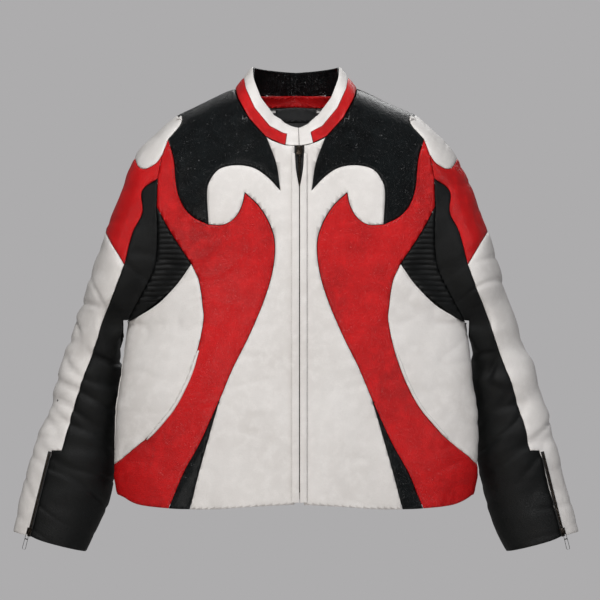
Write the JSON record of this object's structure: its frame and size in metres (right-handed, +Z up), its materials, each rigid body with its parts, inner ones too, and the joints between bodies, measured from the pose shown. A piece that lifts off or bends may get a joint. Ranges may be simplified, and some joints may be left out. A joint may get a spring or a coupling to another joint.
{
  "type": "leather riding jacket",
  "caption": "Cropped leather riding jacket hanging closed: panelled white, red and black body and sleeves, stand collar, front zip under a placket, ribbed underarms and cuff zips.",
  "frame": {"origin": "middle of the neck, level with the neck ends of the shoulder seams", "axes": "+X to the wearer's left, -Y out of the chest, +Z up"},
  "size_m": [0.8608, 0.1924, 0.7355],
  "materials": {
    "white_leather": "smooth matt white leather with a fine grain",
    "red_leather": "deep red grained leather with a soft gloss",
    "black_leather": "black grained leather, glossy on the yoke",
    "black_lining": "plain black woven lining",
    "zip_tape": "woven black tape with metal teeth",
    "gunmetal": "dark plated zip hardware"
  },
  "bodies": {
    "root": {"back_centre": "white_leather", "back_lining": "black_lining", "collar_lining": "black_leather", "collar_lower_band": "red_leather", "collar_upper_band": "white_leather", "front_zip_box": "gunmetal", "left_back_flame": "red_leather", "left_back_gusset": "black_leather", "left_back_hem_wedge": "black_leather", "left_back_side": "white_leather", "left_back_yoke": "black_leather", "left_cuff_zip_tape": "zip_tape", "left_front_centre": "white_leather", "left_front_flame": "red_leather", "left_front_gusset": "black_leather", "left_front_hem_wedge": "black_leather", "left_front_lining": "black_lining", "left_front_side": "white_leather", "left_front_yoke": "black_leather", "left_front_zip_tape": "zip_tape", "left_pocket_bag": "black_lining", "left_pocket_welt": "white_leather", "left_shoulder_cap": "white_leather", "left_sleeve_back": "black_leather", "left_sleeve_front": "black_leather", "left_sleeve_lining": "black_lining", "left_sleeve_outer": "white_leather", "left_upper_arm": "red_leather", "left_zip_placket": "white_leather", "neck_facing": "red_leather", "neck_label": "black_lining", "right_back_flame": "red_leather", "right_back_gusset": "black_leather", "right_back_hem_wedge": "black_leather", "right_back_side": "white_leather", "right_back_yoke": "black_leather", "right_cuff_zip_tape": "zip_tape", "right_front_centre": "white_leather", "right_front_flame": "red_leather", "right_front_gusset": "black_leather", "right_front_hem_wedge": "black_leather", "right_front_lining": "black_lining", "right_front_side": "white_leather", "right_front_yoke": "black_leather", "right_front_zip_tape": "zip_tape", "right_pocket_bag": "black_lining", "right_pocket_welt": "white_leather", "right_shoulder_cap": "white_leather", "right_sleeve_back": "black_leather", "right_sleeve_front": "black_leather", "right_sleeve_lining": "black_lining", "right_sleeve_outer": "white_leather", "right_upper_arm": "red_leather", "right_zip_placket": "white_leather"},
    "front_slider": {"front_zip_slider": "gunmetal"},
    "front_pull": {"front_zip_pull": "gunmetal"},
    "left_cuff_slider": {"left_cuff_zip_slider": "gunmetal"},
    "left_cuff_pull": {"left_cuff_zip_pull": "gunmetal"},
    "right_cuff_slider": {"right_cuff_zip_slider": "gunmetal"},
    "right_cuff_pull": {"right_cuff_zip_pull": "gunmetal"}
  },
  "joints": [
    {"name": "front_zip", "type": "slide", "parent": "root", "child": "front_slider", "axis": [0, 0, -1], "range_m": [0, 0.48], "deforming": ["left_zip_placket", "right_zip_placket"]},
    {"name": "front_pull_swing", "type": "hinge", "parent": "front_slider", "child": "front_pull", "pos_m": [0.005, -0.087, -0.096], "axis": [-1, 0, 0], "range_deg": [0, 100]},
    {"name": "left_cuff_zip", "type": "slide", "parent": "root", "child": "left_cuff_slider", "axis": [-0.2387, 0.0558, 0.9695], "range_m": [0, 0.11]},
    {"name": "left_cuff_pull_swing", "type": "hinge", "parent": "left_cuff_slider", "child": "left_cuff_pull", "pos_m": [0.40472, -0.01493, -0.66697], "axis": [-0.876, -0.4432, -0.1902], "range_deg": [0, 100]},
    {"name": "right_cuff_zip", "type": "slide", "parent": "root", "child": "right_cuff_slider", "axis": [0.2387, 0.0558, 0.9695], "range_m": [0, 0.11]},
    {"name": "right_cuff_pull_swing", "type": "hinge", "parent": "right_cuff_slider", "child": "right_cuff_pull", "pos_m": [-0.40472, -0.01493, -0.66697], "axis": [-0.876, 0.4432, 0.1902], "range_deg": [0, 100]}
  ]
}
